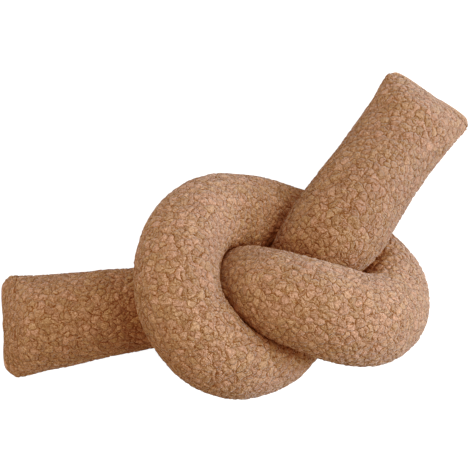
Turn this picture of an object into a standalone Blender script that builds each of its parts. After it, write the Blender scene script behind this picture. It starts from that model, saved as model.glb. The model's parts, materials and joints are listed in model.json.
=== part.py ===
# Knot cushion: one long stuffed cloth tube with flat sewn ends, tied in an overhand knot.
# The filled cloth is one solid in its tied shape, lying on its back on the floor (z = 0).
# +X runs along the cushion's length, +Y from the big loop's lower rim to the free upper end, +Z up.

import math

import bmesh
import bpy
import numpy as np

MM = 0.001

# Driving dimensions, in millimetres
SIDES = 36               # facets round the tube
RINGS = 150              # sections along the tube
END_CROWDING = 0.88      # how much closer together the sections stand at an end seam
END_SECTIONS = 4.0       # number of sections over which that fades
STRAND_GAP = 2.0         # room left between two strands that press on each other
SEAM_BAND = 4.0          # flat sewn band at each end
SEAM_THICKNESS = 7.0     # thickness of that band
SEAM_FLARE = 4.0         # how far the end seam reaches past the tube's side
CORNER_RADIUS = 15.0     # rounded corners of the end seam
UPPER_SKEW = 0.08        # how far out of square the upper end is sewn, as a slope
END_TAPER = 62.0         # from the end seam to the full round section
END_FULLNESS = 0.75      # a lower value fills the tube sooner behind the seam
ROUTE_STEP = 2.5         # even steps along the middle of the tube
FLOOR_PRESS = 4.0        # how far below the floor a section would hang before it is laid flat

# How the filling gives way
PRESS_SHARPNESS = 11.0   # a higher value makes a flatter contact with a sharper rim
BEND_REACH = 0.93        # share of the bend's radius that the inner side may fill
MOST_GROWTH = 1.14       # most that a squeezed section swells sideways
GIRTH_PASSES = 6         # rounds of swelling until the girth is back
SWELL_SECTIONS = 3       # a swelling evens out over this many sections on each side
NEAR_STRAND = 180.0      # closer than this along the tube is the same strand
OWN_SECTION = 8.0        # closer than this along the tube is the section itself
SMALLEST = 1e-6

CLOTH_COLOUR = (0.44, 0.24, 0.14, 1.0)

# The middle of the tube, from the left end seam to the upper one, and the tube's free width there
SPLINE_POINTS = 4000
ROUTE_COLUMNS = ("x", "y", "z", "width")
ROUTE = (
    # left end, lying on the floor
    (-325, -127, 50, 137),
    (-254, -121, 52, 128),
    (-189, -111, 53, 120),
    (-124, -102, 60, 113),
    # under the big loop, then up through it
    (-63, -92, 83, 110),
    (-15, -76, 124, 108),
    (26, -72, 174, 104),
    # the lobe on top of the knot, turning down at the right
    (77, -83, 210, 112),
    (138, -102, 200, 117),
    (187, -106, 156, 117),
    (202, -75, 101, 112),
    # back underneath
    (170, -36, 60, 112),
    (112, -6, 52, 112),
    # the big loop, over the left end
    (52, 17, 65, 112),
    (-2, 26, 103, 113),
    (-48, 14, 149, 110),
    (-70, -31, 190, 110),
    (-64, -92, 207, 111),
    (-26, -138, 190, 113),
    (22, -151, 150, 112),
    # under the lobe and out over the strand below
    (64, -125, 112, 113),
    (90, -71, 117, 115),
    (119, -18, 142, 123),
    # the free upper end, drooping to the floor
    (156, 37, 131, 124),
    (193, 89, 97, 124),
    (233, 141, 59, 127),
    (276, 198, 42, 131),
)


def clear_scene():
    for item in list(bpy.data.objects):
        bpy.data.objects.remove(item)


def natural_spline(places, values, wanted):
    """A smooth curve through values at places, read at the wanted places."""
    count = len(places)
    step = np.diff(places)
    slope = np.diff(values, axis=0) / step[:, None]
    system = np.eye(count)
    right = np.zeros_like(values)
    for row in range(1, count - 1):
        system[row, row - 1] = step[row - 1]
        system[row, row] = 2 * (step[row - 1] + step[row])
        system[row, row + 1] = step[row]
        right[row] = 6 * (slope[row] - slope[row - 1])
    bend = np.linalg.solve(system, right)
    cell = np.clip(np.searchsorted(places, wanted) - 1, 0, count - 2)
    width = step[cell][:, None]
    before = (wanted - places[cell])[:, None]
    after = width - before
    straight = values[cell] * after / width + values[cell + 1] * before / width
    curved = bend[cell] * (after ** 3 / width - width * after) / 6
    curved += bend[cell + 1] * (before ** 3 / width - width * before) / 6
    return straight + curved


def running_length(points):
    steps = np.linalg.norm(np.diff(points, axis=0), axis=1)
    return np.concatenate(([0.0], np.cumsum(steps)))


def read_columns(lengths, columns, wanted):
    return np.stack([np.interp(wanted, lengths, column) for column in columns.T], axis=1)


def tube_route():
    """The tube's middle and its width, in even steps along the cloth."""
    rows = np.array(ROUTE, dtype=float)
    knots = running_length(rows[:, :3])
    fine = natural_spline(knots, rows, np.linspace(0, knots[-1], SPLINE_POINTS))
    lengths = running_length(fine[:, :3])
    along = np.linspace(0, lengths[-1], 1 + round(lengths[-1] / ROUTE_STEP))
    even = dict(zip(ROUTE_COLUMNS, read_columns(lengths, fine, along).T))
    middle = np.stack((even["x"], even["y"], even["z"]), axis=1)
    return along, middle, even["width"]


def level_side(heading):
    """The horizontal direction square to a heading."""
    side = np.cross((0.0, 0.0, 1.0), heading)
    return side / np.linalg.norm(side)


def carried_frames(middle):
    """Heading, side and upper direction at each point, level at both end seams."""
    heading = np.gradient(middle, axis=0)
    heading /= np.linalg.norm(heading, axis=1)[:, None]
    side = np.zeros_like(middle)
    side[0] = level_side(heading[0])
    for step in range(1, len(middle)):
        flat = side[step - 1] - np.dot(side[step - 1], heading[step]) * heading[step]
        side[step] = flat / np.linalg.norm(flat)
    upper = np.cross(heading, side)
    level = level_side(heading[-1])
    turn = math.atan2(np.dot(level, upper[-1]), np.dot(level, side[-1]))
    turn -= math.pi * round(turn / math.pi)
    angle = np.linspace(0, turn, len(middle))[:, None]
    turned_side = np.cos(angle) * side + np.sin(angle) * upper
    turned_upper = np.cos(angle) * upper - np.sin(angle) * side
    return heading, turned_side, turned_upper


def ring_places(length):
    """Where the sections stand: closer together towards the end seams."""
    step = np.arange(RINGS - 1)
    nearest_end = np.minimum(step, step[::-1])
    spacing = 1 - END_CROWDING * np.exp(-nearest_end / END_SECTIONS)
    places = np.concatenate(([0.0], np.cumsum(spacing)))
    return places * length / places[-1]


def free_section(from_end, width, angle):
    """Reach of an unpressed section, by its distance from the nearest end seam."""
    radius = width / 2
    rise = np.clip((from_end - SEAM_BAND) / (END_TAPER - SEAM_BAND), 0, 1)
    seam = SEAM_THICKNESS / 2
    half_height = seam + (radius - seam) * np.sin(rise * math.pi / 2) ** END_FULLNESS
    flare = SEAM_FLARE * (1 - np.clip(from_end / END_TAPER, 0, 1)) ** 2
    corner = np.clip(CORNER_RADIUS - from_end, 0, CORNER_RADIUS)
    rounding = CORNER_RADIUS - np.sqrt(CORNER_RADIUS ** 2 - corner ** 2)
    half_width = radius + flare - rounding
    across = np.cos(angle)[None, :] / half_width[:, None]
    upward = np.sin(angle)[None, :] / half_height[:, None]
    return 1 / np.hypot(across, upward)


def room_to_strands(place, centre, spokes, along, middle):
    """How far each spoke of one section may reach before it meets a strand or its own bend."""
    offset = middle - centre
    distance = np.einsum("ij,ij->i", offset, offset)
    towards = spokes @ offset.T
    apart = np.abs(along - place)
    other = apart > NEAR_STRAND
    gap = np.where(other, STRAND_GAP, 0.0)
    closing = towards - gap
    meets = (closing > SMALLEST) & (apart > OWN_SECTION)
    reach = np.where(meets, (distance - gap ** 2) / (2 * np.where(meets, closing, 1.0)), np.inf)
    reach = np.where(other, reach, reach * BEND_REACH)
    return reach.min(axis=1)


def room_to_floor(centres, spokes):
    downward = -spokes[:, :, 2]
    height = (centres[:, 2] + FLOOR_PRESS)[:, None]
    return np.where(downward > SMALLEST, height / np.maximum(downward, SMALLEST), np.inf)


def pressed(free, room):
    """The smaller of two reaches, with a soft change from one to the other."""
    return (free ** -PRESS_SHARPNESS + room ** -PRESS_SHARPNESS) ** (-1 / PRESS_SHARPNESS)


def girth(reach, angle):
    across = reach * np.cos(angle)
    upward = reach * np.sin(angle)
    return np.hypot(across - np.roll(across, 1, axis=1), upward - np.roll(upward, 1, axis=1)).sum(axis=1)


def squeezed_sections(free, room, angle):
    """Press each section into its room, and let it swell until the cloth's girth is back."""
    growth = np.ones(len(free))
    wanted = girth(free, angle)
    spread = 2 * SWELL_SECTIONS + 1
    for _ in range(GIRTH_PASSES):
        reach = pressed(free * growth[:, None], room)
        growth = np.clip(growth * wanted / girth(reach, angle), 1.0, MOST_GROWTH)
        padded = np.pad(growth, SWELL_SECTIONS, mode="edge")
        growth = np.convolve(padded, np.full(spread, 1 / spread), mode="valid")
    return pressed(free * growth[:, None], room)


def upper_end_skew(offsets, to_upper_end, heading):
    """Shift along the tube that brings the upper end seam out of square."""
    slope = UPPER_SKEW * np.clip(1 - to_upper_end / END_TAPER, 0, 1)
    left_hand = np.cross((0.0, 0.0, 1.0), heading)
    sideways = np.einsum("rsk,rk->rs", offsets, left_hand)
    return -(slope[:, None] * sideways)[:, :, None] * heading[:, None]


def cushion_surface():
    """Section points of the tied tube: rings by sides by x, y, z in millimetres."""
    along, middle, width = tube_route()
    heading, side, upper = carried_frames(middle)
    places = ring_places(along[-1])
    angle = np.arange(SIDES) * 2 * math.pi / SIDES
    centres = read_columns(along, middle, places)
    across = read_columns(along, side, places)
    upward = read_columns(along, upper, places)
    spokes = np.cos(angle)[None, :, None] * across[:, None] + np.sin(angle)[None, :, None] * upward[:, None]
    spokes /= np.linalg.norm(spokes, axis=2)[:, :, None]
    from_end = np.minimum(places, along[-1] - places)
    free = free_section(from_end, np.interp(places, along, width), angle)
    room = room_to_floor(centres, spokes)
    for ring, place in enumerate(places):
        nearest = room_to_strands(place, centres[ring], spokes[ring], along, middle)
        room[ring] = np.minimum(room[ring], nearest)
    reach = squeezed_sections(free, room, angle)
    offsets = reach[:, :, None] * spokes
    skew = upper_end_skew(offsets, along[-1] - places, read_columns(along, heading, places))
    points = centres[:, None] + offsets + skew
    points[:, :, 2] = np.maximum(points[:, :, 2], 0.0)
    return centred_on_floor(points)


def centred_on_floor(points):
    flat = points.reshape(-1, 3)
    middle = (flat.min(axis=0) + flat.max(axis=0)) / 2
    return points - (middle[0], middle[1], flat[:, 2].min())


def straight_tube(mesh):
    """A plain capped tube: one ring of points for each section, extruded from the first."""
    start = bmesh.ops.create_circle(mesh, segments=SIDES, radius=1.0)
    ring = start["verts"]
    edges = list({edge for vert in ring for edge in vert.link_edges})
    rings = [ring]
    bmesh.ops.contextual_create(mesh, geom=edges)
    for _ in range(RINGS - 1):
        grown = bmesh.ops.extrude_edge_only(mesh, edges=edges)["geom"]
        edges = [item for item in grown if isinstance(item, bmesh.types.BMEdge)]
        ring = [item for item in grown if isinstance(item, bmesh.types.BMVert)]
        bmesh.ops.translate(mesh, verts=ring, vec=(0.0, 0.0, 1.0))
        rings.append(ring)
    bmesh.ops.contextual_create(mesh, geom=edges)
    return rings


def cloth_material():
    material = bpy.data.materials.new("boucle_cloth")
    material.use_nodes = True
    shader = material.node_tree.nodes["Principled BSDF"]
    shader.inputs["Base Color"].default_value = CLOTH_COLOUR
    shader.inputs["Roughness"].default_value = 0.95
    shader.inputs["Metallic"].default_value = 0.0
    return material


def knot_tube():
    """The stuffed tube, carried from a straight one to its tied shape."""
    points = cushion_surface() * MM
    mesh = bmesh.new()
    for section, ring in enumerate(straight_tube(mesh)):
        for vert in ring:
            turn = math.atan2(vert.co.y, vert.co.x) / (2 * math.pi)
            vert.co = points[section, round(turn * SIDES) % SIDES]
    bmesh.ops.recalc_face_normals(mesh, faces=mesh.faces)
    data = bpy.data.meshes.new("knot_tube")
    mesh.to_mesh(data)
    mesh.free()
    data.materials.append(cloth_material())
    data.shade_smooth()
    tube = bpy.data.objects.new("knot_tube", data)
    bpy.context.collection.objects.link(tube)
    return tube


clear_scene()
knot_tube()
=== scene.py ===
# The knot cushion in its cloth: a long stuffed tube with flat sewn ends, tied in an overhand knot.
# Lengths in the settings are millimetres, as in the solid's own source. Blender gets metres.
import json
import math

import bmesh
import bpy
import numpy as np
from mathutils import Matrix, Vector

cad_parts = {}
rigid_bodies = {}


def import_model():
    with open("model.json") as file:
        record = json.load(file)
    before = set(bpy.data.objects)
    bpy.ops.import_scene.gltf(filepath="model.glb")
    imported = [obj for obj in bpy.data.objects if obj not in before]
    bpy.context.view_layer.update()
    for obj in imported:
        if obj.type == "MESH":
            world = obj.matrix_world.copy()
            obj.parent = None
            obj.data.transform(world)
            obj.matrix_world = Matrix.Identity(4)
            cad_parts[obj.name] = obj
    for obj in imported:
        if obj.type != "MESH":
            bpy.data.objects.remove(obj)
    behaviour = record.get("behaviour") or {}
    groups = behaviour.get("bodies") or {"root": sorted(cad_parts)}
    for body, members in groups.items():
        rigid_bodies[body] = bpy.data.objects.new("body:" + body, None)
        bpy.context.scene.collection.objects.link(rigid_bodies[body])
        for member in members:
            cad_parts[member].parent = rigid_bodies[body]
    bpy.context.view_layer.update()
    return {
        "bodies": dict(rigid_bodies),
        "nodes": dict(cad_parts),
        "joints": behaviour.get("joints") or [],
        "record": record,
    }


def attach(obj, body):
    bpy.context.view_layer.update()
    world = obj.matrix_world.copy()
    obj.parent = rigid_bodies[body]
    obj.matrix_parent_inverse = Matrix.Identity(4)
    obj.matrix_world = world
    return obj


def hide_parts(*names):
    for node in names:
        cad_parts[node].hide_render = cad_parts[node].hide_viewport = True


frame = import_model()
mm = 0.001

tube = {
    "sides": 72,
    "rings": 340,
    "middle": (-0.441, 8.182, 0.0),  # the frame's origin, as the route below counts
    "crowding": 0.88,  # how much closer together the sections stand at an end seam
    "crowdedSections": 9.0,
    "strandGap": 2.0,  # room between two strands that press on each other
    "seamBand": 4.0,
    "seamThickness": 7.0,
    # radius of an end seam's corner and how far it reaches past the tube, on each side
    "leftEnd": ((19.0, 2.5), (27.0, 9.5)),
    "upperEnd": ((15.0, 4.0), (15.0, 4.0)),
    "endSkews": (-0.04, 0.063),  # how far out of square each end is sewn, as a slope
    "endTaper": 62.0,  # from an end seam to the full round section
    "endFullness": 0.75,
    "routeStep": 2.5,
    "splinePoints": 4000,
    "floorPress": 4.0,  # how far below the floor a section would hang before it is laid flat
    "pressSharpness": 11.0,
    "bendReach": 0.93,  # share of a bend's radius that its inner side may fill
    "mostGrowth": 1.14,  # most that a squeezed section swells sideways
    "girthPasses": 6,
    "swellSections": 7,
    "mostSpare": 100.0,
    "nearStrand": 180.0,  # closer than this along the tube is the same strand
    "ownSection": 8.0,
    "columns": ("x", "y", "z", "width"),
    # The middle of the tube, from the left end seam to the upper one, and its free width there
    "route": (
        # left end, lying on the floor
        (-322, -126.5, 50, 138),
        (-254, -120.3, 52, 129.4),
        (-189, -110, 53, 120),
        (-124, -102, 60, 113),
        # under the big loop, then up through it
        (-63, -92, 83, 110),
        (-15, -76, 124, 108),
        (26, -72, 174, 104),
        # the lobe on top of the knot, turning down at the right
        (77, -83, 210, 112),
        (138, -102, 200, 117),
        (187, -106, 156, 117),
        (202, -75, 101, 112),
        # back underneath
        (170, -36, 60, 112),
        (112, -6, 52, 112),
        # the big loop, over the left end
        (52, 17, 65, 112),
        (-2, 26, 103, 113),
        (-48, 14, 149, 110),
        (-70, -31, 190, 110),
        (-64, -92, 207, 111),
        (-26, -138, 190, 113),
        (22, -151, 150, 112),
        # under the lobe and out over the strand below
        (64, -125, 112, 113),
        (90, -71, 117, 115),
        (119, -18, 142, 123),
        # the free upper end, drooping to the floor
        (156, 37, 131, 124),
        (193, 89, 97, 124),
        (233, 141, 59, 127),
        (273.4, 194.6, 42, 131),
    ),
}

smallest = 1e-6
up = (0.0, 0.0, 1.0)


def naturalSpline(places, values, wanted):
    # a smooth curve through values at places, read at the wanted places
    count = len(places)
    step = np.diff(places)
    slope = np.diff(values, axis=0) / step[:, None]
    system = np.eye(count)
    right = np.zeros_like(values)
    for row in range(1, count - 1):
        system[row, row - 1] = step[row - 1]
        system[row, row] = 2 * (step[row - 1] + step[row])
        system[row, row + 1] = step[row]
        right[row] = 6 * (slope[row] - slope[row - 1])
    bend = np.linalg.solve(system, right)
    cell = np.clip(np.searchsorted(places, wanted) - 1, 0, count - 2)
    width = step[cell][:, None]
    before = (wanted - places[cell])[:, None]
    after = width - before
    straight = values[cell] * after / width + values[cell + 1] * before / width
    curved = bend[cell] * (after**3 / width - width * after) / 6
    curved += bend[cell + 1] * (before**3 / width - width * before) / 6
    return straight + curved


def runningLength(points):
    steps = np.linalg.norm(np.diff(points, axis=0), axis=1)
    return np.concatenate(([0.0], np.cumsum(steps)))


def readColumns(lengths, columns, wanted):
    return np.stack([np.interp(wanted, lengths, column) for column in columns.T], axis=1)


def tubeRoute():
    # the tube's middle and its width, in even steps along the cloth
    rows = np.array(tube["route"], dtype=float)
    knots = runningLength(rows[:, :3])
    fine = naturalSpline(knots, rows, np.linspace(0, knots[-1], tube["splinePoints"]))
    lengths = runningLength(fine[:, :3])
    along = np.linspace(0, lengths[-1], 1 + round(lengths[-1] / tube["routeStep"]))
    even = dict(zip(tube["columns"], readColumns(lengths, fine, along).T))
    return along, np.stack((even["x"], even["y"], even["z"]), axis=1), even["width"]


def levelSide(heading):
    side = np.cross(up, heading)
    return side / np.linalg.norm(side)


def carriedFrames(middle):
    # heading, side and upper direction at each point, level at both end seams
    heading = np.gradient(middle, axis=0)
    heading /= np.linalg.norm(heading, axis=1)[:, None]
    side = np.zeros_like(middle)
    side[0] = levelSide(heading[0])
    for step in range(1, len(middle)):
        flat = side[step - 1] - np.dot(side[step - 1], heading[step]) * heading[step]
        side[step] = flat / np.linalg.norm(flat)
    upper = np.cross(heading, side)
    level = levelSide(heading[-1])
    turn = math.atan2(np.dot(level, upper[-1]), np.dot(level, side[-1]))
    turn -= math.pi * round(turn / math.pi)
    angle = np.linspace(0, turn, len(middle))[:, None]
    turnedSide = np.cos(angle) * side + np.sin(angle) * upper
    turnedUpper = np.cos(angle) * upper - np.sin(angle) * side
    return heading, turnedSide, turnedUpper


def ringPlaces(length):
    # where the sections stand: closer together towards the end seams
    step = np.arange(tube["rings"] - 1)
    nearestEnd = np.minimum(step, step[::-1])
    spacing = 1 - tube["crowding"] * np.exp(-nearestEnd / tube["crowdedSections"])
    places = np.concatenate(([0.0], np.cumsum(spacing)))
    return places * length / places[-1]


def endShape(fromEnd, corner, flare):
    # how far the tube's side stands out near an end seam, with the seam's corner rounded off
    left = np.clip(corner - fromEnd, 0, corner)
    rounding = corner - np.sqrt(corner**2 - left**2)
    taper = np.clip(1 - fromEnd / tube["endTaper"], 0, 1)
    return flare * taper**2 * (3 - 2 * taper) - rounding


def freeSections(places, length, width):
    # angle and reach of each point of the unpressed sections
    fromEnd = np.minimum(places, length - places)
    radius = width / 2
    seam = tube["seamThickness"] / 2
    rise = np.clip((fromEnd - tube["seamBand"]) / (tube["endTaper"] - tube["seamBand"]), 0, 1)
    halfHeight = seam + (radius - seam) * np.sin(rise * math.pi / 2) ** tube["endFullness"]
    turn = np.arange(tube["sides"]) * 2 * math.pi / tube["sides"]
    halfWidths = []
    for leftEnd, upperEnd in zip(tube["leftEnd"], tube["upperEnd"]):
        halfWidths.append(radius + endShape(places, *leftEnd) + endShape(length - places, *upperEnd))
    halfWidth = np.where(np.cos(turn) > 0, halfWidths[0][:, None], halfWidths[1][:, None])
    across = halfWidth * np.cos(turn)
    upward = halfHeight[:, None] * np.sin(turn)
    return np.arctan2(upward, across), np.hypot(across, upward)


def roomToStrands(place, centre, spokes, along, middle):
    # how far each spoke may reach before it meets a strand or its own bend
    offset = middle - centre
    distance = np.einsum("ij,ij->i", offset, offset)
    apart = np.abs(along - place)
    other = apart > tube["nearStrand"]
    gap = np.where(other, tube["strandGap"], 0.0)
    closing = spokes @ offset.T - gap
    meets = (closing > smallest) & (apart > tube["ownSection"])
    reach = np.where(meets, (distance - gap**2) / (2 * np.where(meets, closing, 1.0)), np.inf)
    return np.where(other, reach, reach * tube["bendReach"]).min(axis=1)


def roomToFloor(centres, spokes):
    downward = -spokes[:, :, 2]
    height = (centres[:, 2] + tube["floorPress"])[:, None]
    return np.where(downward > smallest, height / np.maximum(downward, smallest), np.inf)


def pressed(free, room):
    sharpness = tube["pressSharpness"]
    return (free**-sharpness + room**-sharpness) ** (-1 / sharpness)


def girth(reach, angle):
    across = reach * np.cos(angle)
    upward = reach * np.sin(angle)
    sideways = across - np.roll(across, 1, axis=1)
    rise = upward - np.roll(upward, 1, axis=1)
    return np.hypot(sideways, rise).sum(axis=1)


def squeezedSections(free, room, angle):
    # each section is pressed into its room and swells until the cloth's girth is back
    growth = np.ones(len(free))
    wanted = girth(free, angle)
    spread = 2 * tube["swellSections"] + 1
    for _ in range(tube["girthPasses"]):
        reach = pressed(free * growth[:, None], room)
        growth = np.clip(growth * wanted / girth(reach, angle), 1.0, tube["mostGrowth"])
        growth = np.pad(growth, tube["swellSections"], mode="edge")
        growth = np.convolve(growth, np.full(spread, 1 / spread), mode="valid")
    return pressed(free * growth[:, None], room)


def sewnAskew(offsets, places, length, heading):
    # how far each point is carried along the tube by the slant of the end seams
    leftSlope, upperSlope = tube["endSkews"]
    slope = leftSlope * np.clip(1 - places / tube["endTaper"], 0, 1)
    slope += upperSlope * np.clip(1 - (length - places) / tube["endTaper"], 0, 1)
    leftHand = np.cross(up, heading)
    sideways = np.einsum("rsk,rk->rs", offsets, leftHand)
    return -(slope[:, None] * sideways)[:, :, None] * heading[:, None]


def tiedSections():
    # the tied tube's points, rings by sides by x, y, z, where each ring stands along the cloth,
    # and how much further out each point could go
    along, middle, width = tubeRoute()
    heading, side, upper = carriedFrames(middle)
    places = ringPlaces(along[-1])
    centres = readColumns(along, middle, places)
    across = readColumns(along, side, places)
    upward = readColumns(along, upper, places)
    angle, free = freeSections(places, along[-1], np.interp(places, along, width))
    spokes = np.cos(angle)[:, :, None] * across[:, None] + np.sin(angle)[:, :, None] * upward[:, None]
    spokes /= np.linalg.norm(spokes, axis=2)[:, :, None]
    room = roomToFloor(centres, spokes)
    for ring, place in enumerate(places):
        nearest = roomToStrands(place, centres[ring], spokes[ring], along, middle)
        room[ring] = np.minimum(room[ring], nearest)
    reach = squeezedSections(free, room, angle)
    offsets = reach[:, :, None] * spokes
    skew = sewnAskew(offsets, places, along[-1], readColumns(along, heading, places))
    points = centres[:, None] + offsets + skew
    points[:, :, 2] = np.maximum(points[:, :, 2], 0.0)
    return points, places, np.minimum(room - reach, tube["mostSpare"])


def straightTube(mesh):
    # a plain sheet with a row of points for each section, sewn into a tube, its ends sewn flat;
    # each step keeps to one order, so that the simulation gives the same shape each run
    count = tube["sides"] + 1
    bmesh.ops.create_grid(mesh, x_segments=tube["sides"], y_segments=tube["rings"] - 1, size=1.0)
    sheet = list(mesh.verts)
    rows = [sheet[first : first + count] for first in range(0, len(sheet), count)]
    bmesh.ops.weld_verts(mesh, targetmap={row[-1]: row[0] for row in rows})
    rings = [row[:-1] for row in rows]
    closeEnd(mesh, rings[0])
    closeEnd(mesh, rings[-1])
    return rings


def closeEnd(mesh, ring):
    # the upper half of the ring is joined to the lower half, straight across the seam
    half = len(ring) // 2
    upperHalf = ring[1:half]
    lowerHalf = ring[half + 1 :]
    edges = [mesh.edges.get(pair) for row in (upperHalf, lowerHalf) for pair in zip(row, row[1:])]
    bmesh.ops.bridge_loops(mesh, edges=edges)
    bmesh.ops.contextual_create(mesh, geom=[upperHalf[0], ring[0], lowerHalf[-1]])
    bmesh.ops.contextual_create(mesh, geom=[upperHalf[-1], ring[half], lowerHalf[0]])


def tiedTube():
    # the straight tube carried to its tied shape; each point keeps its place on the cloth
    points, places, spare = tiedSections()
    points = (points - tube["middle"]) * mm
    mesh = bmesh.new()
    mesh.verts.layers.float.new("along")
    mesh.verts.layers.float.new("spare")
    along = mesh.verts.layers.float["along"]
    spareRoom = mesh.verts.layers.float["spare"]
    rings = straightTube(mesh)
    for number, ring in enumerate(rings):
        for side, vert in enumerate(ring):
            vert.co = points[number][side]
            vert[along] = places[number] * mm
            vert[spareRoom] = spare[number][side] * mm
    bmesh.ops.recalc_face_normals(mesh, faces=mesh.faces)
    data = bpy.data.meshes.new("cushionCover")
    mesh.to_mesh(data)
    mesh.free()
    data.shade_smooth()
    cover = bpy.data.objects.new("cushion_cover", data)
    bpy.context.collection.objects.link(cover)
    return cover, places[-1] * mm


filling = {
    "frames": 20,
    "pressure": 4.0,
    "slack": 0.003,  # how much wider the cloth is cut than the filling
    "mostMoved": 5.0,
    "spareShare": 0.9,  # share of the room beside another strand that the cloth may take
    "quality": 5,
    "mass": 0.15,
    "stretch": 15.0,
    "shear": 5.0,
    "bending": 0.5,
}


def readPoints(data, name="co", owner="vertices"):
    values = np.empty(len(data.vertices) * 3)
    getattr(data, owner).foreach_get(name, values)
    return values.reshape(-1, 3)


def readMark(data, name):
    values = np.empty(len(data.vertices))
    data.attributes[name].data.foreach_get("value", values)
    return values


def writeMark(data, name, values):
    # a number or a direction for each point
    kind, field = ("FLOAT", "value") if values.ndim == 1 else ("FLOAT_VECTOR", "vector")
    marks = data.attributes.new(name, kind, "POINT")
    marks.data.foreach_set(field, values.ravel())


def filledOut(cover):
    # the filling presses the cloth out; each point moves a little, and not into another strand
    scene = bpy.context.scene
    cloth = cover.modifiers.new("cloth", "CLOTH")
    cloth.settings.quality = filling["quality"]
    cloth.settings.mass = filling["mass"]
    cloth.settings.tension_stiffness = filling["stretch"]
    cloth.settings.compression_stiffness = filling["stretch"]
    cloth.settings.shear_stiffness = filling["shear"]
    cloth.settings.bending_stiffness = filling["bending"]
    cloth.settings.use_pressure = True
    cloth.settings.uniform_pressure_force = filling["pressure"]
    cloth.settings.shrink_min = -filling["slack"]
    cloth.settings.effector_weights.gravity = 0.0
    cloth.collision_settings.use_collision = False
    cloth.point_cache.frame_start = 1
    cloth.point_cache.frame_end = filling["frames"]
    for frame in range(1, filling["frames"] + 1):
        scene.frame_set(frame)
    swollen = readPoints(cover.evaluated_get(bpy.context.evaluated_depsgraph_get()).data)
    cover.modifiers.clear()
    scene.frame_set(1)
    places = readPoints(cover.data)
    outward = readPoints(cover.data, "vector", "vertex_normals")
    spare = readMark(cover.data, "spare")
    moves = swollen - places
    moved = np.maximum(np.linalg.norm(moves, axis=1), smallest)
    moves *= (np.minimum(moved, filling["mostMoved"] * mm) / moved)[:, None]
    tooFar = np.einsum("ij,ij->i", moves, outward) - filling["spareShare"] * spare
    moves -= np.maximum(tooFar, 0.0)[:, None] * outward
    cover.data.vertices.foreach_set("co", (places + moves).ravel())
    cover.data.update()
    print("stage: filled out, moved", round(float(np.abs(moves).max() / mm), 1), "mm at most")


def addNode(tree, kind, inputs=None, **settings):
    # inputs are values or other nodes' sockets, by name or number
    node = tree.nodes.new(kind)
    for name, value in settings.items():
        setattr(node, name, value)
    for name, value in (inputs or {}).items():
        if isinstance(value, bpy.types.NodeSocket):
            tree.links.new(value, node.inputs[name])
        else:
            node.inputs[name].default_value = value
    return node


def calculated(tree, operation, *values):
    node = addNode(tree, "ShaderNodeMath", dict(enumerate(values)), operation=operation)
    return node.outputs[0]


def ramped(tree, value, low, high, bottom=0.0, top=1.0, smooth="SMOOTHSTEP"):
    inputs = {"Value": value, "From Min": low, "From Max": high, "To Min": bottom, "To Max": top}
    return addNode(tree, "ShaderNodeMapRange", inputs, interpolation_type=smooth).outputs["Result"]


pile = {
    "clump": 10.0,  # width of a clump of pile
    "curl": 4.4,  # width of a curl on a clump
    "wander": 4.4,  # how far the creases between clumps wander
    "wanderScale": 8.0,
    "wanderDetail": 3.0,
    "wanderTwist": 0.3,
    "clumpEdge": 2.2,  # from a crease to the flat top of its clump
    "curlEdge": 1.2,
    "clumpHeight": 1.45,
    "curlHeight": 0.45,
    "lumpWidth": 60.0,  # slow unevenness of the filling
    "lumpHeight": 2.0,
    "lumpRange": (0.3, 0.7),  # of the noise, from the lowest to the highest lump
    "roundedFrom": 0.50,  # in clump widths from the middle of a clump
    "roundedTo": 0.85,
    "sunkCorner": 1.1,
    "proud": 0.5,  # how far the clumps' tops stand over the cloth's own surface
    "drift": 0.15,  # keeps the clumps of two touching strands apart
    "steepest": 0.05,  # least share of a crease's slope that lies in the surface
    "seamRim": 2.0,  # the pile is pressed flat this far from an end seam
    "seamFade": 7.0,  # and stands at its full height from here
    "stitchRows": (25.0, 10.0),  # from the left end seam and from the upper one
    "stitchReach": 2.2,
    "stitchDepth": 0.5,
    # painted light and shade along the tube, by the place along the cloth in millimetres: lighter over
    # the big loop's top, darker along the free upper end, a little lighter at its tip
    "paintedLightAndShade": (
        (850, 1.0),
        (930, 1.14),
        (1050, 1.0),
        (1330, 1.0),
        (1430, 0.83),
        (1600, 0.86),
        (1737, 1.07),
    ),
}


def noiseAt(tree, spot, width, detail=1.0, distortion=0.0):
    inputs = {"Vector": spot, "Scale": 1 / (width * mm), "Detail": detail, "Distortion": distortion}
    return addNode(tree, "ShaderNodeTexNoise", inputs, noise_dimensions="3D")


def vectors(tree, operation, *values, result="Vector", **inputs):
    inputs.update(enumerate(values))
    return addNode(tree, "ShaderNodeVectorMath", inputs, operation=operation).outputs[result]


def fromCrease(tree, spot, outward, width):
    # distance along the cloth to the nearest crease in millimetres, distance from the clump's
    # middle in clump widths, and a colour for each clump
    inputs = {"Vector": spot, "Scale": 1 / (width * mm)}
    nearest = addNode(tree, "ShaderNodeTexVoronoi", inputs, feature="F1")
    second = addNode(tree, "ShaderNodeTexVoronoi", inputs, feature="F2")
    own = nearest.outputs["Position"]
    other = second.outputs["Position"]
    across = vectors(tree, "NORMALIZE", vectors(tree, "SUBTRACT", other, own))
    middle = vectors(tree, "SCALE", vectors(tree, "ADD", other, own), Scale=0.5)
    toMiddle = vectors(tree, "SUBTRACT", middle, spot)
    straight = vectors(tree, "DOT_PRODUCT", toMiddle, across, result="Value")
    slant = vectors(tree, "DOT_PRODUCT", across, outward, result="Value")
    inCloth = calculated(tree, "SUBTRACT", 1.0, calculated(tree, "MULTIPLY", slant, slant))
    inCloth = calculated(tree, "SQRT", calculated(tree, "MAXIMUM", inCloth, pile["steepest"]))
    distance = calculated(tree, "DIVIDE", calculated(tree, "DIVIDE", straight, inCloth), mm)
    return distance, nearest.outputs["Distance"], nearest.outputs["Color"]


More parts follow.
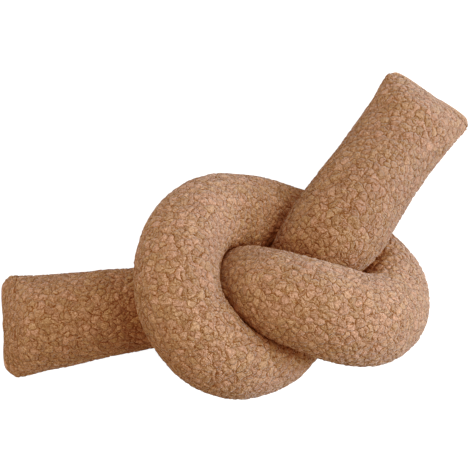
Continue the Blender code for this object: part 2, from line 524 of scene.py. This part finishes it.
def creasePattern(tree, spot, outward):
    # distances from the creases between clumps and between curls, how far the corners between
    # clumps are sunk, which rounds the clumps, and a colour for each clump
    noise = noiseAt(tree, spot, pile["wanderScale"], pile["wanderDetail"], pile["wanderTwist"])
    bothWays = vectors(tree, "SUBTRACT", noise.outputs["Color"], (0.5, 0.5, 0.5))
    wander = vectors(tree, "SCALE", bothWays, Scale=2 * pile["wander"] * mm)
    spot = vectors(tree, "ADD", spot, wander)
    clumps, fromMiddle, colour = fromCrease(tree, spot, outward, pile["clump"])
    curls, _, _ = fromCrease(tree, spot, outward, pile["curl"])
    sunk = ramped(tree, fromMiddle, pile["roundedFrom"], pile["roundedTo"], 0.0, pile["sunkCorner"])
    return clumps, curls, sunk, colour


def mounded(tree, clumps, curls, sunk, standing, stitched):
    # height of the pile in metres over the cloth; it is pressed flat at the end seams
    clumps = calculated(tree, "SUBTRACT", clumps, sunk)
    clumps = ramped(tree, clumps, 0.0, pile["clumpEdge"], 0.0, pile["clumpHeight"])
    curls = ramped(tree, curls, 0.0, pile["curlEdge"], 0.0, pile["curlHeight"])
    height = calculated(tree, "ADD", clumps, curls)
    underTops = pile["clumpHeight"] + pile["curlHeight"] - pile["proud"]
    height = calculated(tree, "SUBTRACT", height, underTops)
    height = calculated(tree, "MULTIPLY", height, standing)
    pulled = calculated(tree, "MULTIPLY", stitched, pile["stitchDepth"])
    return calculated(tree, "MULTIPLY", calculated(tree, "SUBTRACT", height, pulled), mm)


def seamMarks(tree, fromSeam, fromStitches):
    # how far the pile stands up, and how deep the stitches pull the cloth in, both from 0 to 1
    standing = ramped(tree, fromSeam, pile["seamRim"] * mm, pile["seamFade"] * mm)
    stitched = ramped(tree, fromStitches, 0.0, pile["stitchReach"] * mm, 1.0, 0.0)
    return standing, stitched


def namedMark(tree, name, kind="FLOAT"):
    mark = addNode(tree, "GeometryNodeInputNamedAttribute", {"Name": name}, data_type=kind)
    return mark.outputs["Attribute"]


def pileModifier():
    # raises the clumps and lumps as real shape
    tree = bpy.data.node_groups.new("raisePile", "GeometryNodeTree")
    tree.interface.new_socket("Geometry", in_out="INPUT", socket_type="NodeSocketGeometry")
    tree.interface.new_socket("Geometry", in_out="OUTPUT", socket_type="NodeSocketGeometry")
    start = tree.nodes.new("NodeGroupInput")
    end = tree.nodes.new("NodeGroupOutput")
    spot = namedMark(tree, "pileSpot", "FLOAT_VECTOR")
    outward = tree.nodes.new("GeometryNodeInputNormal").outputs[0]
    clumps, curls, sunk, _ = creasePattern(tree, spot, outward)
    standing, stitched = seamMarks(tree, namedMark(tree, "fromSeam"), namedMark(tree, "fromStitches"))
    height = mounded(tree, clumps, curls, sunk, standing, stitched)
    lumps = noiseAt(tree, spot, pile["lumpWidth"]).outputs["Fac"]
    highest = pile["lumpHeight"] * mm / 2
    lumps = ramped(tree, lumps, *pile["lumpRange"], -highest, highest, "LINEAR")
    height = calculated(tree, "ADD", height, calculated(tree, "MULTIPLY", lumps, standing))
    offset = vectors(tree, "SCALE", outward, Scale=height)
    raised = addNode(tree, "GeometryNodeSetPosition", {"Geometry": start.outputs[0], "Offset": offset})
    tree.links.new(raised.outputs[0], end.inputs[0])
    return tree


def applyModifiers(piece):
    bpy.context.view_layer.update()
    graph = bpy.context.evaluated_depsgraph_get()
    shown = piece.evaluated_get(graph)
    data = bpy.data.meshes.new_from_object(shown, preserve_all_data_layers=True, depsgraph=graph)
    piece.modifiers.clear()
    old = piece.data
    piece.data = data
    bpy.data.meshes.remove(old)


def restOnFloor(piece):
    # nothing reaches below the floor
    places = readPoints(piece.data)
    places[:, 2] = np.maximum(places[:, 2], 0.0)
    piece.data.vertices.foreach_set("co", places.ravel())
    piece.data.update()


def markPile(piece, clothLength):
    # where each point stands in the pattern of the pile, which way the cloth faces there, how far the
    # nearest end seam and row of stitches are, and the light and shade painted on the cloth along the
    # tube
    along = readMark(piece.data, "along")
    outward = readPoints(piece.data, "vector", "vertex_normals")
    spot = readPoints(piece.data)
    spot[:, 2] += pile["drift"] * along
    fromSeam = np.minimum(along, clothLength - along)
    leftRow, upperRow = np.array(pile["stitchRows"]) * mm
    fromStitches = np.minimum(np.abs(along - leftRow), np.abs(clothLength - along - upperRow))
    writeMark(piece.data, "pileSpot", spot)
    writeMark(piece.data, "outward", outward)
    writeMark(piece.data, "fromSeam", fromSeam)
    writeMark(piece.data, "fromStitches", fromStitches)
    # painted light and shade, by the place along the cloth
    writeMark(piece.data, "paintedLightAndShade", np.interp(along / mm, *zip(*pile["paintedLightAndShade"])))


colours = {
    "pink": (0.490, 0.284, 0.194, 1.0),
    "olive": (0.450, 0.279, 0.172, 1.0),
    # colour of the painted shade in the creases and along the sewn edges, and of the stitches
    "paintedShadeAndStitches": (0.168, 0.076, 0.037, 1.0),
    "paintedCreaseShadeWidth": 0.95,  # half width of the painted shade in a crease between clumps, in millimetres
    # where the painted shade in a curl's crease starts and ends, in millimetres, and how dark it is
    "paintedCurlShadeFrom": 0.1,
    "paintedCurlShadeWidth": 0.6,
    "paintedCurlShade": 0.65,
    "fibre": 2.0,  # width of a fibre's shadow
    "fibreHeight": 0.7,
    "hair": 1.1,  # width of a single hair's shadow
    "fibreTwist": 1.4,
    "hairTwist": 2.0,
    "fibreShades": (0.66, 1.30),
    "hairShades": (0.82, 1.17),
    "clumpShades": (0.86, 1.12),
    "noiseRange": (0.25, 0.75),  # of a noise, from its darkest to its lightest shade
    "broken": 6.0,  # width of the breaks in the creases
    # noise at which a crease's painted shade fades out and is whole, and how dark it is there
    "clumpBreaks": (0.38, 0.60, 0.2, 1.0),
    "curlBreaks": (0.38, 0.56, 0.1, 1.0),
    "flatPaintedCreaseShade": 0.35,  # how dark the painted shade in the creases stays where the pile is pressed flat
    # darkness of the painted shadow along a sewn end seam
    "paintedSeamShadow": 0.7,
    "stitch": 5.0,  # length of one stitch
    "stitchFrom": 0.5,
    "stitchBreaks": (0.42, 0.54),
    "stitchStretch": 45.0,  # length of a stretch of stitches that shows
    "stretchBreaks": (0.40, 0.55, 0.15, 1.0),
    "surface": {
        "Roughness": 0.95,
        "Specular IOR Level": 0.1,
        "Sheen Weight": 0.45,
        "Sheen Roughness": 0.4,
        "Sheen Tint": (1.0, 0.88, 0.80, 1.0),
    },
}


def shadedMark(tree, name, output="Fac"):
    return addNode(tree, "ShaderNodeAttribute", attribute_name=name).outputs[output]


def clothMaterial():
    material = bpy.data.materials.new("boucleCloth")
    material.use_nodes = True
    tree = material.node_tree
    shader = tree.nodes["Principled BSDF"]
    spot = shadedMark(tree, "pileSpot", "Vector")
    outward = shadedMark(tree, "outward", "Vector")
    fromSeam = shadedMark(tree, "fromSeam")
    fromStitches = shadedMark(tree, "fromStitches")
    clumps, curls, sunk, clumpColour = creasePattern(tree, spot, outward)
    standing, stitched = seamMarks(tree, fromSeam, fromStitches)
    height = mounded(tree, clumps, curls, sunk, standing, stitched)
    fibre = noiseAt(tree, spot, colours["fibre"], 1.0, colours["fibreTwist"]).outputs["Fac"]
    fibreHeight = calculated(tree, "MULTIPLY", fibre, colours["fibreHeight"] * mm)
    height = calculated(tree, "ADD", height, fibreHeight)
    bump = addNode(tree, "ShaderNodeBump", {"Strength": 1.0, "Distance": 1.0, "Height": height})
    random = addNode(tree, "ShaderNodeSeparateColor", {0: clumpColour})
    inputs = {"Factor": random.outputs[0], 6: colours["pink"], 7: colours["olive"]}
    tint = addNode(tree, "ShaderNodeMix", inputs, data_type="RGBA").outputs[2]
    # painted shade in the creases and along the sewn edges, with the stitches, mixed into the cloth's
    # colour
    deep = ramped(tree, standing, 0.0, 1.0, colours["flatPaintedCreaseShade"], 1.0)
    paintedShadeAndStitches = calculated(tree, "MULTIPLY", paintedCreaseShade(tree, spot, clumps, curls), deep)
    paintedShadeAndStitches = calculated(tree, "MAXIMUM", paintedShadeAndStitches, seamShadowAndStitches(tree, spot, fromSeam, fromStitches))
    inputs = {"Factor": paintedShadeAndStitches, 6: tint, 7: colours["paintedShadeAndStitches"]}
    colour = addNode(tree, "ShaderNodeMix", inputs, data_type="RGBA").outputs[2]
    hairs = noiseAt(tree, spot, colours["hair"], 0.0, colours["hairTwist"]).outputs["Fac"]
    shade = spread(tree, fibre, colours["fibreShades"])
    shade = calculated(tree, "MULTIPLY", shade, spread(tree, hairs, colours["hairShades"]))
    clumpShade = ramped(tree, random.outputs[1], 0.0, 1.0, *colours["clumpShades"], "LINEAR")
    shade = calculated(tree, "MULTIPLY", shade, clumpShade)
    # painted light and shade along the tube lightens or darkens the cloth's colour
    shade = calculated(tree, "MULTIPLY", shade, shadedMark(tree, "paintedLightAndShade"))
    tree.links.new(vectors(tree, "SCALE", colour, Scale=shade), shader.inputs["Base Color"])
    tree.links.new(bump.outputs[0], shader.inputs["Normal"])
    for name, value in colours["surface"].items():
        shader.inputs[name].default_value = value
    return material


def spread(tree, noise, shades):
    # a noise stretched between two shades
    return ramped(tree, noise, *colours["noiseRange"], *shades, "LINEAR")


def paintedCreaseShade(tree, spot, clumps, curls):
    # painted shade: dark lines in the creases between the clumps and the curls, broken here and there
    broken = noiseAt(tree, spot, colours["broken"], 2.0).outputs["Color"]
    broken = addNode(tree, "ShaderNodeSeparateColor", {0: broken})
    clumpShadeLine = ramped(tree, clumps, 0.0, colours["paintedCreaseShadeWidth"], 1.0, 0.0)
    whole = ramped(tree, broken.outputs[0], *colours["clumpBreaks"])
    clumpShadeLine = calculated(tree, "MULTIPLY", clumpShadeLine, whole)
    curlWidth = (colours["paintedCurlShadeFrom"], colours["paintedCurlShadeWidth"])
    curlShadeLine = ramped(tree, curls, *curlWidth, colours["paintedCurlShade"], 0.0)
    whole = ramped(tree, broken.outputs[1], *colours["curlBreaks"])
    curlShadeLine = calculated(tree, "MULTIPLY", curlShadeLine, whole)
    return calculated(tree, "MAXIMUM", clumpShadeLine, curlShadeLine)


def seamShadowAndStitches(tree, spot, fromSeam, fromStitches):
    # painted shadow along the sewn edge, and the dark marks of the stitches, in uneven stretches
    # painted shadow along the sewn edge
    edge = ramped(tree, fromSeam, 0.0, pile["seamRim"] * mm, colours["paintedSeamShadow"], 0.0)
    marks = ramped(tree, fromStitches, colours["stitchFrom"] * mm, pile["stitchReach"] * mm, 1.0, 0.0)
    single = noiseAt(tree, spot, colours["stitch"]).outputs["Fac"]
    marks = calculated(tree, "MULTIPLY", marks, ramped(tree, single, *colours["stitchBreaks"]))
    stretches = noiseAt(tree, spot, colours["stitchStretch"]).outputs["Fac"]
    shown = ramped(tree, stretches, *colours["stretchBreaks"])
    marks = calculated(tree, "MULTIPLY", marks, shown)
    return calculated(tree, "MAXIMUM", edge, marks)


def cushionCover():
    cover, clothLength = tiedTube()
    filledOut(cover)
    finer = cover.modifiers.new("finer", "SUBSURF")
    finer.levels = 1
    finer.render_levels = 1
    applyModifiers(cover)
    print("stage: fine tube", len(cover.data.polygons), "faces")
    markPile(cover, clothLength)
    cover.modifiers.new("pile", "NODES").node_group = pileModifier()
    applyModifiers(cover)
    restOnFloor(cover)
    cover.data.materials.clear()
    cover.data.materials.append(clothMaterial())
    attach(cover, "root")
    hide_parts("knot_tube")
    print("stage: pile raised")
    return cover


def aimed(piece, place, target):
    piece.location = place
    piece.rotation_euler = (Vector(place) - Vector(target)).to_track_quat("Z", "Y").to_euler()


studio = {
    "floorSize": 12.0,
    "floorColour": (0.45, 0.46, 0.47, 1.0),
    "floorRoughness": 0.9,
    "floorGlow": 0.9,  # whitens the ground for the camera alone, and lights nothing
    "glowColour": (1.0, 1.0, 1.0, 1.0),
    "ambient": 0.42,
    "ambientColour": (1.0, 0.85, 0.70, 1.0),
    "horizonColour": (0.93, 0.93, 0.93, 1.0),
    "target": (0.0, 0.0, 0.1),
    "lampSize": 1.2,
    "lampDistance": 2.2,
    # bearing seen from above, from +X towards +Y, height over the floor in degrees, watts, colour
    "lamps": (
        ("key", 0, 20, 26.0, (1.0, 1.0, 1.0)),
        ("high", 0, 65, 26.0, (1.0, 0.93, 0.82)),
        ("top", 90, 50, 15.5, (1.0, 1.0, 0.98)),
        ("rim", 180, 15, 17.0, (1.0, 0.83, 0.66)),
    ),
    "lens": 96.24,
    "sensor": 36.0,
    "cameraHeight": 1.8,
    # red, green and blue tones, scene value to picture value: shadows turn warm as in the picture
    "tones": (
        ((0.05, 0.046), (0.15, 0.15), (0.5, 0.5)),
        ((0.05, 0.024), (0.15, 0.122), (0.29, 0.29), (0.45, 0.47)),
        ((0.04, 0.012), (0.10, 0.062), (0.18, 0.18), (0.30, 0.33)),
    ),
}


def studioAir():
    # warm light from all around, with a pale horizon for the camera
    world = bpy.data.worlds.new("studio")
    bpy.context.scene.world = world
    world.use_nodes = True
    tree = world.node_tree
    warm = tree.nodes["Background"]
    warm.inputs["Color"].default_value = studio["ambientColour"]
    warm.inputs["Strength"].default_value = studio["ambient"]
    pale = addNode(tree, "ShaderNodeBackground", {"Color": studio["horizonColour"]})
    seen = tree.nodes.new("ShaderNodeLightPath").outputs["Is Camera Ray"]
    sky = addNode(tree, "ShaderNodeMixShader", {0: seen, 1: warm.outputs[0], 2: pale.outputs[0]})
    tree.links.new(sky.outputs[0], tree.nodes["World Output"].inputs["Surface"])


def studioFloor():
    mesh = bmesh.new()
    bmesh.ops.create_grid(mesh, x_segments=1, y_segments=1, size=studio["floorSize"] / 2)
    data = bpy.data.meshes.new("floor")
    mesh.to_mesh(data)
    mesh.free()
    material = bpy.data.materials.new("floorPaint")
    material.use_nodes = True
    tree = material.node_tree
    shader = tree.nodes["Principled BSDF"]
    shader.inputs["Base Color"].default_value = studio["floorColour"]
    shader.inputs["Roughness"].default_value = studio["floorRoughness"]
    shader.inputs["Emission Color"].default_value = studio["glowColour"]
    seen = tree.nodes.new("ShaderNodeLightPath").outputs["Is Camera Ray"]
    glow = calculated(tree, "MULTIPLY", seen, studio["floorGlow"])
    tree.links.new(glow, shader.inputs["Emission Strength"])
    data.materials.append(material)
    floor = bpy.data.objects.new("floor", data)
    bpy.context.collection.objects.link(floor)


def lamps():
    for name, bearing, rise, power, colour in studio["lamps"]:
        lamp = bpy.data.lights.new(name, "AREA")
        lamp.shape = "DISK"
        lamp.size = studio["lampSize"]
        lamp.energy = power
        lamp.color = colour
        stand = bpy.data.objects.new(name, lamp)
        bpy.context.collection.objects.link(stand)
        outward = Vector((1.0, 0.0, 0.0))
        outward.rotate(Matrix.Rotation(math.radians(-rise), 3, "Y"))
        outward.rotate(Matrix.Rotation(math.radians(bearing), 3, "Z"))
        target = Vector(studio["target"])
        aimed(stand, target + outward * studio["lampDistance"], target)


def camera():
    # straight above the point that the route counts from
    across, along, _ = tube["middle"]
    lens = bpy.data.cameras.new("camera")
    lens.lens = studio["lens"]
    lens.sensor_width = studio["sensor"]
    view = bpy.data.objects.new("camera", lens)
    view.location = (-across * mm, -along * mm, studio["cameraHeight"])
    bpy.context.collection.objects.link(view)
    bpy.context.scene.camera = view


def grade():
    # plain colours, with shadows turned a little darker and warmer as in a printed picture
    settings = bpy.context.scene.view_settings
    settings.view_transform = "Standard"
    settings.use_curve_mapping = True
    for curve, tones in zip(settings.curve_mapping.curves, studio["tones"]):
        for tone in tones:
            curve.points.new(*tone)
    settings.curve_mapping.update()


cushionCover()
studioAir()
studioFloor()
lamps()
camera()
grade()
